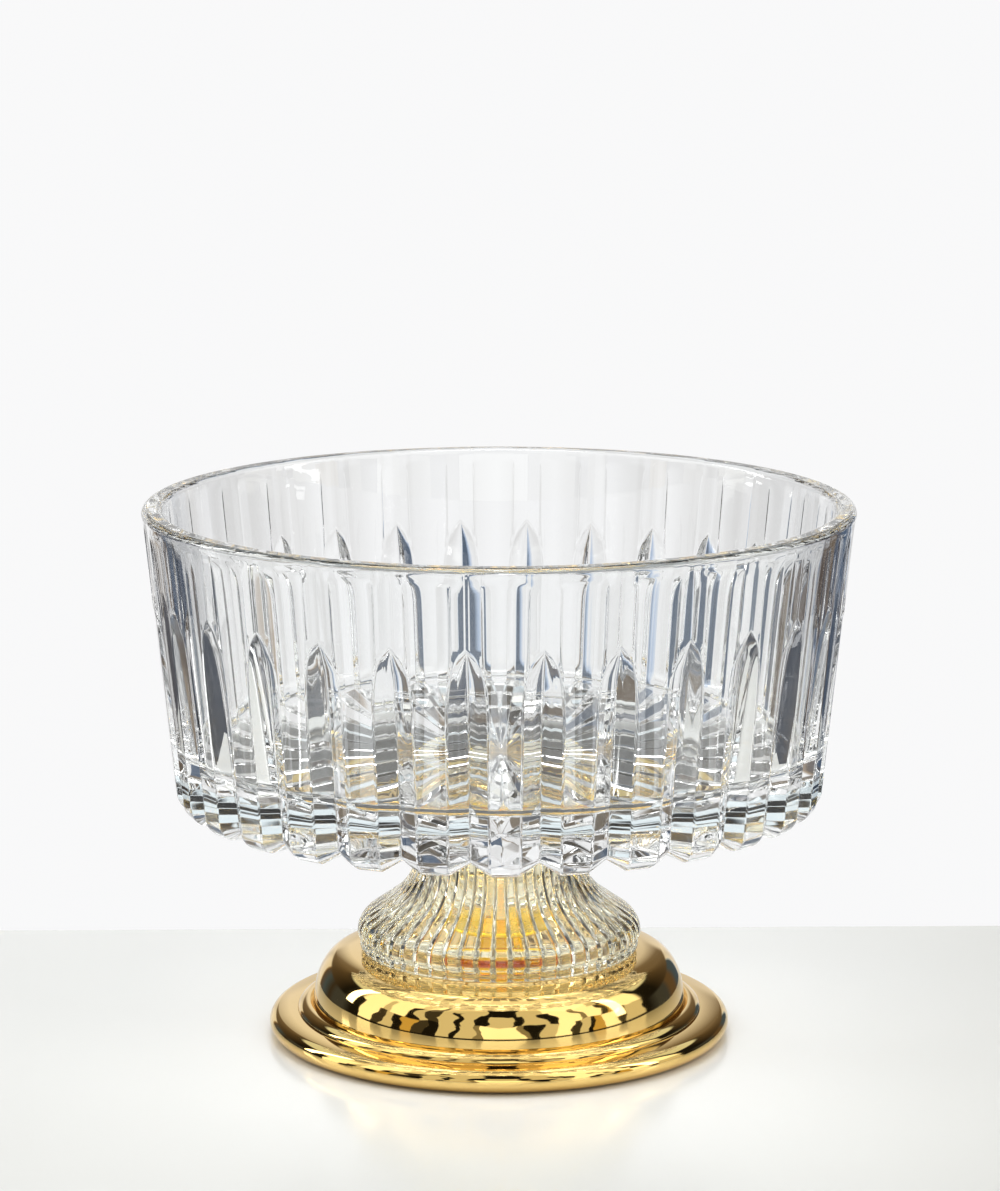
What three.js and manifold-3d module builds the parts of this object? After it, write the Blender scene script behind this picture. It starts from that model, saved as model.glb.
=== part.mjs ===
// Footed salad bowl: a drum of cut glass with thirty lobes, a bell-shaped collar of ribbed glass and a
// gold-plated cast foot, drawn together by one tie rod through the middle.
// Millimetres, +Z up. The origin is on the table, under the centre of the foot. The front is -Y.

import * as THREE from 'three';
import { mergeVertices } from 'three/addons/utils/BufferGeometryUtils.js';
import Module from 'manifold-3d';

// Bowl: the drum
const rimRadius = 125;
const bowlHeight = 105.3;
const wallFlare = 10.2;
const lipThickness = 7.7;
const lipRound = 2.4;
const innerFlare = 10;
const floorThickness = 19;
const floorFillet = 6;
const heelRound = 7;
const lobeDrop = 1.5;
const bowlSeatMargin = 1;

// Bowl: the cuts
const lobeCount = 30;
const mitreHalfWidth = 7.2;
const mitreDepth = 4.7;
const archDrop = 27;
const archLength = 26;
const archSharpness = 6.2;
const cutterProud = 3;

// Collar
const collarRadius = 50.4;
const collarHeight = 54.2;
const ribCount = 54;
const ribDepth = 0.9;
const tierInset = 0.9;
const tierRound = 1.9;
const bellyRound = 2.4;
const shoulderRound = 8.5;
const flareAngle = 55;
const flareLength = 10.5;
const neckRound = 20.7;
const crownHeight = 8;
const crownFlare = 1.7;
const collarWall = 7;

// Foot
const domeRadius = 66.2;
const domeHeight = 29.4;
const domeFoot = 10.2;
const seatRadius = 51.4;
const plateauRadius = 56.4;
const plateauFall = 1.2;
const hollowPlateauRadius = 55;
const stepRound = 4.4;
const stepLedge = 1.2;
const stepHeight = 11.2;
const flangeWidth = 6;
const flangeFall = 0.4;
const beadRadius = 4;
const castWall = 3;
const landWidth = 9;
const landHeight = 5;

// Pad under the foot
const padWidth = 5.8;
const padThickness = 1.5;
const padProud = 0.5;
const padBorder = 1.5;

// Gaskets
const lowerGasketThickness = 0.6;
const upperGasketThickness = 0.8;
const gasketMargin = 1;

// Tie rod and the hardware on it
const rodRadius = 4;
const rodEndChamfer = 0.6;
const rodTail = 3.4;
const rodEngagement = 10.5;
const studMargin = 2.35;
const studThickness = 3.5;
const studBossRadius = 7.5;
const studBossLength = 9;
const studBlindWall = 1.5;
const bossRadius = 17.6;
const bossHeight = 7.5;
const bossDisc = 3;
const bossStemRadius = 8.5;
const bossChamfer = 0.8;
const spigotRadius = 6;
const spigotShort = 0.5;
const clampRadius = 24;
const clampThickness = 3;
const clampChamfer = 0.8;
const lockWasherRadius = 7.4;
const lockWasherThickness = 2;
const lockWasherSplit = 1.2;
const nutAcrossFlats = 13;
const nutHeight = 6.5;
const nutChamfer = 0.7;

// Clearances
const threadClearance = 0.3;
const fitClearance = 0.4;
const bondGap = 0.3;
const endClearance = 0.8;

// How finely round things are divided
const footSides = 48;
const smallSides = 28;

// Heights of the seats, from the table up
const footEdgeZ = padProud;
const footSeatZ = footEdgeZ + domeHeight;
const castCeilingZ = footSeatZ - castWall;
const collarFootZ = footSeatZ + lowerGasketThickness;
const collarTopZ = collarFootZ + collarHeight;
const bowlSeatZ = collarTopZ + upperGasketThickness;
const studTopZ = bowlSeatZ - bondGap;
const studFaceZ = studTopZ - studThickness;
const studBossEndZ = studFaceZ - studBossLength;
const clampFaceZ = castCeilingZ - clampThickness;
const lockWasherFaceZ = clampFaceZ - lockWasherThickness;
const nutFaceZ = lockWasherFaceZ - nutHeight;
const rodEndZ = nutFaceZ - rodTail;
const rodTopZ = studBossEndZ + rodEngagement;

// Radii that one piece takes from another
const boreRadius = rodRadius + threadClearance;
const spigotHoleRadius = spigotRadius + threadClearance;
const wallFootRadius = rimRadius - wallFlare;
const wallFootZ = heelRound - lobeDrop;
const heelRadius = wallFootRadius - heelRound;
const rimInnerRadius = rimRadius - lipThickness;
const stepFootRadius = domeRadius + stepLedge + stepRound;
const beadCentreRadius = stepFootRadius + flangeWidth;
const landInnerRadius = beadCentreRadius - landWidth;
const padOuterRadius = beadCentreRadius - padBorder;
const padInnerRadius = padOuterRadius - padWidth;
const padGrooveDepth = padThickness - padProud;

const wasm = await Module();
wasm.setup();

const crystal = { color: 0xf2f8fa, roughness: 0.02, metalness: 0, transparent: true, opacity: 0.4 };
const gold = { color: 0xe2b659, roughness: 0.08, metalness: 1 };
const steel = { color: 0xb9bcc0, roughness: 0.3, metalness: 1 };
const silicone = { color: 0xe6ebec, roughness: 0.4, metalness: 0, transparent: true, opacity: 0.5 };
const felt = { color: 0x2a2725, roughness: 0.95, metalness: 0 };

const radians = THREE.MathUtils.degToRad;

// A point of a profile: its distance from the axis and its height.
function at(radius, height) {
  return new THREE.Vector2(radius, height);
}

// Points along an arc of a profile, both ends included. Angles are in degrees from straight outwards.
function arc(centre, radius, from, to, steps) {
  const points = [];
  for (let i = 0; i <= steps; i += 1) {
    const angle = radians(from + ((to - from) * i) / steps);
    points.push(at(centre.x + radius * Math.cos(angle), centre.y + radius * Math.sin(angle)));
  }
  return points;
}

// Points along a quarter of an ellipse, from its outermost point up to its top, both included.
function quarterEllipse(centre, width, height, steps) {
  return arc(at(0, 0), 1, 0, 90, steps).map((unit) => at(centre.x + unit.x * width, centre.y + unit.y * height));
}

// Turns a profile that runs from axis to axis about Z, or a ring's profile after closing it.
function revolve(profile, sides, startAngle = 0) {
  const onAxis = profile[0].x === 0 && profile[profile.length - 1].x === 0;
  const outline = onAxis ? profile : [...profile, profile[0]];
  return new THREE.LatheGeometry(outline, sides, startAngle).rotateX(Math.PI / 2);
}

// A flat ring between two heights.
function ringProfile(inner, outer, bottom, top) {
  return [at(inner, bottom), at(outer, bottom), at(outer, top), at(inner, top)];
}

// A plain disc or peg between two heights, used as a cutter.
function discProfile(radius, bottom, top) {
  return [at(0, bottom), at(radius, bottom), at(radius, top), at(0, top)];
}

// Skins a row of sections with the same number of corners into one closed geometry.
function loft(sections) {
  const sides = sections[0].length;
  const last = (sections.length - 1) * sides;
  const faces = [];
  for (let start = 0; start < last; start += sides) {
    for (let i = 0; i < sides; i += 1) {
      const near = start + i;
      const next = start + ((i + 1) % sides);
      faces.push(near, next + sides, next, near, near + sides, next + sides);
    }
  }
  for (let i = 1; i + 1 < sides; i += 1) {
    faces.push(0, i, i + 1, last, last + i + 1, last + i);
  }
  const geometry = new THREE.BufferGeometry().setFromPoints(sections.flat());
  return geometry.setIndex(faces);
}

// A solid for joining and cutting, from a closed geometry.
function solidOf(geometry) {
  const bare = geometry.clone();
  bare.deleteAttribute('normal');
  bare.deleteAttribute('uv');
  const welded = mergeVertices(bare);
  const corners = welded.index.array;
  const kept = [];
  for (let i = 0; i < corners.length; i += 3) {
    const [a, b, c] = corners.slice(i, i + 3);
    if (a !== b && b !== c && c !== a) {
      kept.push(a, b, c);
    }
  }
  const vertProperties = new Float32Array(welded.attributes.position.array);
  return new wasm.Manifold(new wasm.Mesh({ numProp: 3, vertProperties, triVerts: new Uint32Array(kept) }));
}

// The geometry of a solid after its joins and cuts.
function geometryOf(solid) {
  const { vertProperties, triVerts } = solid.getMesh();
  const geometry = new THREE.BufferGeometry();
  geometry.setAttribute('position', new THREE.BufferAttribute(vertProperties, 3));
  geometry.setIndex(new THREE.BufferAttribute(triVerts, 1));
  geometry.computeVertexNormals();
  return geometry;
}

// A geometry less each of the cutters.
function cut(geometry, cutters) {
  const left = cutters.reduce((solid, cutter) => solid.subtract(solidOf(cutter)), solidOf(geometry));
  return geometryOf(left);
}

// One named piece of the object.
function piece(name, geometry, finish) {
  const mesh = new THREE.Mesh(geometry, new THREE.MeshStandardMaterial({ ...finish, flatShading: true }));
  mesh.name = name;
  return mesh;
}

// Bowl. Its own heights count from its seat, the flat middle of its underside.

const bowlSeatRadius = neckRadius() + crownFlare + bowlSeatMargin;
const wallSlope = wallFlare / (bowlHeight - wallFootZ);
const heelCentre = at(heelRadius, wallFootZ);

// The collar's radius at its narrowest, after the shoulder, the straight flare and the hollow of the neck.
function neckRadius() {
  const turn = 1 - Math.cos(radians(flareAngle));
  const straight = flareLength * Math.sin(radians(flareAngle));
  return collarRadius - shoulderRound * turn - straight - neckRound * turn;
}

function bowlProfile() {
  const outerLip = at(rimRadius - lipRound, bowlHeight - lipRound);
  const innerLip = at(rimInnerRadius + lipRound, bowlHeight - lipRound);
  const innerFootRadius = rimInnerRadius - innerFlare;
  const fillet = at(innerFootRadius - floorFillet, floorThickness + floorFillet);
  return [
    at(0, 0),
    at(bowlSeatRadius, 0),
    ...arc(heelCentre, heelRound, -90, 0, 3),
    ...arc(outerLip, lipRound, 0, 90, 2),
    ...arc(innerLip, lipRound, 90, 180, 2),
    ...arc(fillet, floorFillet, 0, -90, 3),
    at(0, floorThickness),
  ];
}

// One section of a V cut: its apex at a depth under a point of the surface, its mouth outside the glass.
function vSection(point, normal, depth, slope) {
  const apex = point.clone().addScaledVector(normal, -depth);
  const mouth = point.clone().addScaledVector(normal, cutterProud);
  const halfWidth = (depth + cutterProud) * slope;
  return [
    new THREE.Vector3(0, -apex.x, apex.y),
    new THREE.Vector3(-halfWidth, -mouth.x, mouth.y),
    new THREE.Vector3(halfWidth, -mouth.x, mouth.y),
  ];
}

// A section of a cut on the wall at a height.
function wallSection(height, depth, slope) {
  const point = at(wallFootRadius + (height - wallFootZ) * wallSlope, height);
  const normal = at(1, -wallSlope).normalize();
  return vSection(point, normal, depth, slope);
}

// The deep mitre cut: a pointed arch on the wall, down round the heel and in to the star underneath.
function mitreCutter() {
  const slope = mitreHalfWidth / mitreDepth;
  const tip = bowlHeight - archDrop;
  const whole = 1 - Math.exp(-archLength / archSharpness);
  const arch = [0, 0.08, 0.2, 0.45, 1].map((share) => {
    const below = archLength * share;
    const growth = (1 - Math.exp(-below / archSharpness)) / whole;
    return wallSection(tip - below, mitreDepth * growth, slope);
  });
  const heel = [0, -45, -90].map((angle) => {
    const normal = at(Math.cos(radians(angle)), Math.sin(radians(angle)));
    const point = heelCentre.clone().addScaledVector(normal, heelRound);
    return vSection(point, normal, mitreDepth, slope);
  });
  const star = vSection(at(bowlSeatRadius, 0), at(0, -1), 0, slope);
  return loft([...arch, ...heel, star]);
}

// The blank has two facets to a lobe: the panel in its middle and the strip that the next mitre cut splits.
function makeBowl() {
  const pitch = (2 * Math.PI) / lobeCount;
  const cutters = [];
  for (let lobe = 0; lobe < lobeCount; lobe += 1) {
    const valley = (lobe + 0.5) * pitch;
    cutters.push(mitreCutter().rotateZ(valley));
  }
  const blank = revolve(bowlProfile(), 2 * lobeCount, -pitch / 4);
  const bowl = piece('bowl', cut(blank, cutters), crystal);
  bowl.position.z = bowlSeatZ;
  return bowl;
}

// Collar. Its own heights count from its foot.

const collarFootInner = collarRadius - collarWall;
const neckInner = neckRadius() - collarWall;
const studRadius = neckInner - studMargin;
const shoulderCentre = at(collarRadius - shoulderRound, 2 * tierRound + bellyRound);
const neckCentre = at(neckRadius() + neckRound, neckHeight());

// The height at which the hollow of the neck is narrowest.
function neckHeight() {
  const lean = radians(flareAngle);
  const bend = (shoulderRound + neckRound) * Math.sin(lean);
  return shoulderCentre.y + bend + flareLength * Math.cos(lean);
}

// The ridge of a rib, from the collar's foot to its crown.
function collarOutside() {
  const tier = at(collarRadius - tierInset - tierRound, tierRound);
  const belly = at(collarRadius - bellyRound, shoulderCentre.y);
  return [
    ...arc(tier, tierRound, -90, 45, 2),
    ...arc(belly, bellyRound, -60, 0, 1),
    ...arc(shoulderCentre, shoulderRound, 0, flareAngle, 3).slice(1),
    ...arc(neckCentre, neckRound, 180 + flareAngle, 180, 4),
    at(neckRadius(), collarHeight - crownHeight),
    at(neckRadius() + crownFlare, collarHeight),
  ];
}

// The smooth inside of the bell, from its crown down to the shoulder.
function collarInside() {
  return [
    at(neckInner, collarHeight),
    ...arc(neckCentre, neckRound + collarWall, 180, 180 + flareAngle, 4),
    ...arc(shoulderCentre, shoulderRound - collarWall, flareAngle, 0, 2),
  ];
}

function makeCollar() {
  const outside = collarOutside();
  const outline = [at(collarFootInner, 0), ...outside, ...collarInside()];
  const bell = revolve(outline, 2 * ribCount);
  const positions = bell.attributes.position;
  const valleyShare = 1 - ribDepth / collarRadius;
  const rows = positions.count / (2 * ribCount + 1);
  for (let i = 0; i < positions.count; i += 1) {
    const row = i % rows;
    const inValley = Math.floor(i / rows) % 2 === 1;
    if (inValley && row >= 1 && row <= outside.length) {
      positions.setXY(i, positions.getX(i) * valleyShare, positions.getY(i) * valleyShare);
    }
  }
  const collar = piece('collar', bell, crystal);
  collar.position.z = collarFootZ;
  return collar;
}

// Foot. Its own heights count from its lower edge.

function footProfile() {
  const bead = at(beadCentreRadius, beadRadius);
  const rollFoot = at(stepFootRadius - stepRound, 2 * beadRadius + flangeFall);
  const shoulder = domeHeight - plateauFall;
  const ceiling = domeHeight - castWall;
  const hollowRadius = domeRadius - castWall;
  const hollowWidth = hollowRadius - hollowPlateauRadius;
  const hollow = quarterEllipse(at(hollowPlateauRadius, domeFoot), hollowWidth, ceiling - domeFoot, 4);
  return [
    at(landInnerRadius, 0),
    at(padInnerRadius, 0),
    at(padInnerRadius, padGrooveDepth),
    at(padOuterRadius, padGrooveDepth),
    at(padOuterRadius, 0),
    ...arc(bead, beadRadius, -90, 90, 6),
    ...quarterEllipse(rollFoot, stepRound, stepHeight - rollFoot.y, 3),
    ...quarterEllipse(at(plateauRadius, domeFoot), domeRadius - plateauRadius, shoulder - domeFoot, 6),
    at(seatRadius, domeHeight),
    at(spigotHoleRadius, domeHeight),
    at(spigotHoleRadius, ceiling),
    ...hollow.reverse(),
    at(hollowRadius, landHeight + castWall),
    at(landInnerRadius, landHeight),
  ];
}

function makeFoot() {
  const foot = piece('foot', revolve(footProfile(), footSides), gold);
  foot.position.z = footEdgeZ;
  return foot;
}

function makeFootPad() {
  const gap = threadClearance;
  const profile = ringProfile(padInnerRadius + gap, padOuterRadius - gap, 0, padThickness);
  return piece('foot_pad', revolve(profile, footSides), felt);
}

// Gaskets

function makeLowerGasket() {
  const outer = collarRadius - tierInset - tierRound - gasketMargin - ribDepth;
  const profile = ringProfile(collarFootInner + fitClearance, outer, 0, lowerGasketThickness);
  const gasket = piece('lower_gasket', revolve(profile, footSides), silicone);
  gasket.position.z = footSeatZ;
  return gasket;
}

function makeUpperGasket() {
  const outer = neckRadius() + crownFlare - gasketMargin;
  const profile = ringProfile(neckInner + fitClearance, outer, 0, upperGasketThickness);
  const gasket = piece('upper_gasket', revolve(profile, smallSides), silicone);
  gasket.position.z = collarTopZ;
  return gasket;
}

// Tie rod and the hardware on it

// The brass plate bonded under the bowl, with a blind threaded boss for the rod.
function makeStudPlate() {
  const boreTop = studBossLength + studThickness - studBlindWall;
  const profile = [
    at(0, boreTop),
    at(boreRadius, boreTop),
    at(boreRadius, 0),
    at(studBossRadius, 0),
    at(studBossRadius, studBossLength),
    at(studRadius, studBossLength),
    at(studRadius, studBossLength + studThickness),
    at(0, studBossLength + studThickness),
  ];
  const plate = piece('stud_plate', revolve(profile, smallSides), gold);
  plate.position.z = studBossEndZ;
  return plate;
}

function makeTieRod() {
  const length = rodTopZ - rodEndZ;
  const profile = [
    at(0, 0),
    at(rodRadius - rodEndChamfer, 0),
    at(rodRadius, rodEndChamfer),
    at(rodRadius, length - rodEndChamfer),
    at(rodRadius - rodEndChamfer, length),
    at(0, length),
  ];
  const rod = piece('tie_rod', revolve(profile, smallSides), gold);
  rod.position.z = rodEndZ;
  return rod;
}

// The turned boss that stands on the foot, inside the collar: a disc on a stem that holds the rod in the middle.
function makeLocatingBoss() {
  const spigotLength = castWall - spigotShort;
  const profile = [
    at(boreRadius, -spigotLength),
    at(spigotRadius, -spigotLength),
    at(spigotRadius, 0),
    at(bossStemRadius, 0),
    at(bossStemRadius, bossHeight - bossDisc),
    at(bossRadius, bossHeight - bossDisc),
    at(bossRadius, bossHeight - bossChamfer),
    at(bossRadius - bossChamfer, bossHeight),
    at(boreRadius, bossHeight),
  ];
  const boss = piece('locating_boss', revolve(profile, smallSides), gold);
  boss.position.z = footSeatZ;
  return boss;
}

// The steel plate under the dome that spreads the nut's load.
function makeClampPlate() {
  const profile = [
    at(boreRadius, 0),
    at(clampRadius - clampChamfer, 0),
    at(clampRadius, clampChamfer),
    at(clampRadius, clampThickness),
    at(boreRadius, clampThickness),
  ];
  const plate = piece('clamp_plate', revolve(profile, smallSides), steel);
  plate.position.z = clampFaceZ;
  return plate;
}

// A split spring washer, drawn flat as it is when the nut is tight.
function makeLockWasher() {
  const ring = revolve(ringProfile(boreRadius, lockWasherRadius, 0, lockWasherThickness), smallSides);
  const slit = new THREE.BoxGeometry(lockWasherSplit, lockWasherRadius, 2 * lockWasherThickness);
  slit.translate(0, lockWasherRadius / 2 + rodRadius / 2, lockWasherThickness / 2);
  const washer = piece('lock_washer', cut(ring, [slit]), steel);
  washer.position.z = lockWasherFaceZ;
  return washer;
}

function makeHexNut() {
  const cornerRadius = nutAcrossFlats / Math.sqrt(3);
  const hexagon = new THREE.Shape(arc(at(0, 0), cornerRadius, 0, 300, 5));
  const block = new THREE.ExtrudeGeometry(hexagon, { depth: nutHeight, bevelEnabled: false });
  const chamfered = revolve([
    at(0, 0),
    at(cornerRadius - nutChamfer, 0),
    at(cornerRadius + nutChamfer, 2 * nutChamfer),
    at(cornerRadius + nutChamfer, nutHeight - 2 * nutChamfer),
    at(cornerRadius - nutChamfer, nutHeight),
    at(0, nutHeight),
  ], smallSides);
  const thread = revolve(discProfile(boreRadius, -endClearance, nutHeight + endClearance), smallSides);
  const body = solidOf(block).intersect(solidOf(chamfered)).subtract(solidOf(thread));
  const nut = piece('hex_nut', geometryOf(body), steel);
  nut.position.z = nutFaceZ;
  return nut;
}

const footGroup = new THREE.Group();
footGroup.add(makeFoot(), makeFootPad(), makeLocatingBoss());

const collarGroup = new THREE.Group();
collarGroup.add(makeLowerGasket(), makeCollar(), makeUpperGasket());

const bowlGroup = new THREE.Group();
bowlGroup.add(makeBowl(), makeStudPlate());

const clampGroup = new THREE.Group();
clampGroup.add(makeTieRod(), makeClampPlate(), makeLockWasher(), makeHexNut());

const saladBowl = new THREE.Group();
saladBowl.add(footGroup, collarGroup, bowlGroup, clampGroup);

export default saladBowl;
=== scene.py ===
"""Looks of a footed salad bowl: a drum of cut glass on a ribbed glass collar and a gold-plated foot.

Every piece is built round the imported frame, in metres, with +Z up and the front along -Y.
"""

import logging
import math
from dataclasses import dataclass, field
from enum import Enum
from typing import Sequence, Union

import bmesh
import bpy
from mathutils import Matrix, Vector


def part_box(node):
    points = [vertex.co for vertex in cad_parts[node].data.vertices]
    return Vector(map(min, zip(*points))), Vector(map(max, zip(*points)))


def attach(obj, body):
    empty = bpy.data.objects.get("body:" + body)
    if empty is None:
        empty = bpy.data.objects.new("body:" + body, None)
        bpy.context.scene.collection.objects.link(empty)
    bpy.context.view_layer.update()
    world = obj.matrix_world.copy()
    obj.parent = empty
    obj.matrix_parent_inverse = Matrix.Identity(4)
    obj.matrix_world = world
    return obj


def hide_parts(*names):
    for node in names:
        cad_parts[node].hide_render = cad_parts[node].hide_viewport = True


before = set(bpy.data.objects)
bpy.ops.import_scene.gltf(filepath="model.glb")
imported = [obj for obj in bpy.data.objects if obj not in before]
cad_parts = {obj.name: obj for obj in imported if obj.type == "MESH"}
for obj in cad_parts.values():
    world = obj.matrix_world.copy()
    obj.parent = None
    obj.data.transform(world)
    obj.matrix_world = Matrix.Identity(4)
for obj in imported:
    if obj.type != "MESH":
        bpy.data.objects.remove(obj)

LOG = logging.getLogger("salad_bowl")
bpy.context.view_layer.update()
BODY = "root"
MM = 0.001
MERGE = 2e-6
STRAIGHT_DOWN = -10.0

MIX_SHARE, MIX_FIRST, MIX_SECOND, MIX_RESULT = 0, 6, 7, 2
SMUDGE_DETAIL, SMUDGE_ROUGHNESS = 4.0, 0.62
SMUDGE_START, SMUDGE_END = 0.42, 0.72
GRAIN_DETAIL, GRAIN_HEIGHT = 2.0, 0.25

Point = tuple[float, float]
Colour = tuple[float, float, float]
Stops = Sequence[tuple[float, Colour]]
Tone = Union[Colour, bpy.types.NodeSocket]


class Slot(Enum):
    """The record's material slots."""

    CUT_GLASS = "cut_glass"
    RIBBED_GLASS = "ribbed_glass"
    GOLD = "gold_plate"
    STEEL = "zinc_steel"
    SILICONE = "clear_silicone"
    FELT = "felt"


class Ray(Enum):
    """Outputs of the Light Path node that the table and the surroundings read."""

    CAMERA = "Is Camera Ray"
    TRANSMISSION = "Is Transmission Ray"


class Steps(Enum):
    """How a colour ramp runs from stop to stop."""

    SOFT = "LINEAR"
    HARD = "CONSTANT"


# Outlines


def arc(centre: Point, radius: float, start: float, end: float, steps: int) -> list[Point]:
    """Points along an arc of an outline, both ends included.

    Args:
        centre: Radius and height of the arc's centre.
        radius: The arc's radius.
        start: First angle in degrees, counted from straight outwards.
        end: Last angle in degrees.
        steps: Number of chords.

    Returns:
        The points as (radius, height) pairs.
    """
    points = []
    for i in range(steps + 1):
        angle = math.radians(start + (end - start) * i / steps)
        points.append((centre[0] + radius * math.cos(angle), centre[1] + radius * math.sin(angle)))
    return points


def quarter(centre: Point, width: float, height: float, steps: int) -> list[Point]:
    """Points along a quarter of an ellipse, from its outermost point up to its top, both included.

    Args:
        centre: Radius and height of the ellipse's centre.
        width: Half its width.
        height: Half its height.
        steps: Number of chords.

    Returns:
        The points as (radius, height) pairs.
    """
    unit = arc((0.0, 0.0), 1.0, 0.0, 90.0, steps)
    return [(centre[0] + width * point[0], centre[1] + height * point[1]) for point in unit]


def between(start: Point, end: Point, steps: int) -> list[Point]:
    """Points on a straight stretch, both ends left out.

    Args:
        start: First end.
        end: Last end.
        steps: Number of equal stretches.

    Returns:
        The points inside the stretch.
    """
    shares = [i / steps for i in range(1, steps)]
    return [(start[0] + (end[0] - start[0]) * s, start[1] + (end[1] - start[1]) * s) for s in shares]


def normals_of(outline: Sequence[Point]) -> list[Point]:
    """Outward normals of an outline that runs with its solid on the left.

    Args:
        outline: Points as (radius, height) pairs.

    Returns:
        One unit normal for each point.
    """
    normals = []
    last = len(outline) - 1
    for i in range(len(outline)):
        before = outline[max(i - 1, 0)]
        after = outline[min(i + 1, last)]
        along = Vector((after[0] - before[0], after[1] - before[1])).normalized()
        normals.append((along.y, -along.x))
    return normals


def smooth_max(first: float, second: float, blend: float) -> float:
    """The larger of two depths, eased over a short range so that the edge between them is rounded.

    Args:
        first: One depth.
        second: The other depth.
        blend: Difference below which the two are eased into each other.

    Returns:
        The eased larger depth.
    """
    overlap = max(blend - abs(first - second), 0.0)
    return max(first, second) + overlap * overlap / (4.0 * blend)


def eased(share: float) -> float:
    """A share from 0 to 1 with soft ends."""
    share = min(max(share, 0.0), 1.0)
    return share * share * (3.0 - 2.0 * share)


# Meshes


def finish_mesh(bm: bmesh.types.BMesh, name: str, sharp_angle: float) -> bpy.types.Object:
    """Turns a bmesh into a smooth-shaded object with its corners kept sharp.

    Args:
        bm: The bmesh, which is freed.
        name: Name of the new object.
        sharp_angle: Angle in degrees above which an edge stays sharp.

    Returns:
        The new object, linked to the scene.
    """
    bmesh.ops.recalc_face_normals(bm, faces=bm.faces)
    limit = math.radians(sharp_angle)
    for face in bm.faces:
        face.smooth = True
    for edge in bm.edges:
        edge.smooth = edge.calc_face_angle(0.0) < limit
    mesh = bpy.data.meshes.new(name)
    bm.to_mesh(mesh)
    bm.free()
    obj = bpy.data.objects.new(name, mesh)
    bpy.context.scene.collection.objects.link(obj)
    return obj


def chain(bm: bmesh.types.BMesh, points: Sequence[Point], closed: bool) -> list[bmesh.types.BMVert]:
    """Adds an outline in the plane through the axis and the front.

    Args:
        bm: The bmesh that gets the outline.
        points: Radius and height of each point, in millimetres.
        closed: Whether the last point joins the first.

    Returns:
        The new vertices in order.
    """
    verts = [bm.verts.new((0.0, -radius * MM, height * MM)) for radius, height in points]
    for first, second in zip(verts, verts[1:]):
        bm.edges.new((first, second))
    if closed:
        bm.edges.new((verts[-1], verts[0]))
    return verts


def turned(name: str, points: Sequence[Point], steps: int, sharp_angle: float = 30.0) -> bpy.types.Object:
    """A lathe-turned piece about the axis.

    Args:
        name: Name of the piece.
        points: Its outline in millimetres: from axis to axis, or a ring's outline.
        steps: Number of steps round the axis.
        sharp_angle: Angle in degrees above which an edge stays sharp.

    Returns:
        The new object.
    """
    bm = bmesh.new()
    on_axis = points[0][0] == 0.0 and points[-1][0] == 0.0
    verts = chain(bm, points, closed=not on_axis)
    bmesh.ops.spin(
        bm, geom=verts + list(bm.edges), cent=(0, 0, 0), axis=(0, 0, 1),
        angle=2.0 * math.pi, steps=steps, use_merge=True,
    )
    bmesh.ops.remove_doubles(bm, verts=bm.verts, dist=MERGE)
    return finish_mesh(bm, name, sharp_angle)


def sector_ring(
    name: str, places: Sequence[Sequence[Vector]], count: int, sharp_angle: float,
) -> bpy.types.Object:
    """A closed ring of equal sectors, each mirrored about its own middle.

    Args:
        name: Name of the piece.
        places: Rows of places along the outline, each from the middle of the first sector to its edge.
        count: Number of sectors round the axis.
        sharp_angle: Angle in degrees above which an edge stays sharp.

    Returns:
        The new object, with any round opening at its two ends closed flat.
    """
    rows, columns = len(places), len(places[0])
    bm = bmesh.new()
    bmesh.ops.create_grid(bm, x_segments=columns - 1, y_segments=rows - 1, size=0.5)
    for vert in bm.verts:
        column = round((vert.co.x + 0.5) * (columns - 1))
        row = round((vert.co.y + 0.5) * (rows - 1))
        vert.co = places[row][column]
    whole = list(bm.verts) + list(bm.edges) + list(bm.faces)
    bmesh.ops.mirror(bm, geom=whole, matrix=Matrix.Identity(4), merge_dist=MERGE, axis="X")
    whole = list(bm.verts) + list(bm.edges) + list(bm.faces)
    pitch = 2.0 * math.pi / count
    bmesh.ops.spin(
        bm, geom=whole, cent=(0, 0, 0), axis=(0, 0, 1), angle=pitch * (count - 1), steps=count - 1,
        use_duplicate=True,
    )
    bmesh.ops.remove_doubles(bm, verts=bm.verts, dist=MERGE)
    open_edges = [edge for edge in bm.edges if edge.is_boundary]
    if open_edges:
        bmesh.ops.holes_fill(bm, edges=open_edges, sides=0)
    obj = finish_mesh(bm, name, sharp_angle)
    weighted = obj.modifiers.new("even shading", "WEIGHTED_NORMAL")
    weighted.keep_sharp = True
    return obj


# Finishes


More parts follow.
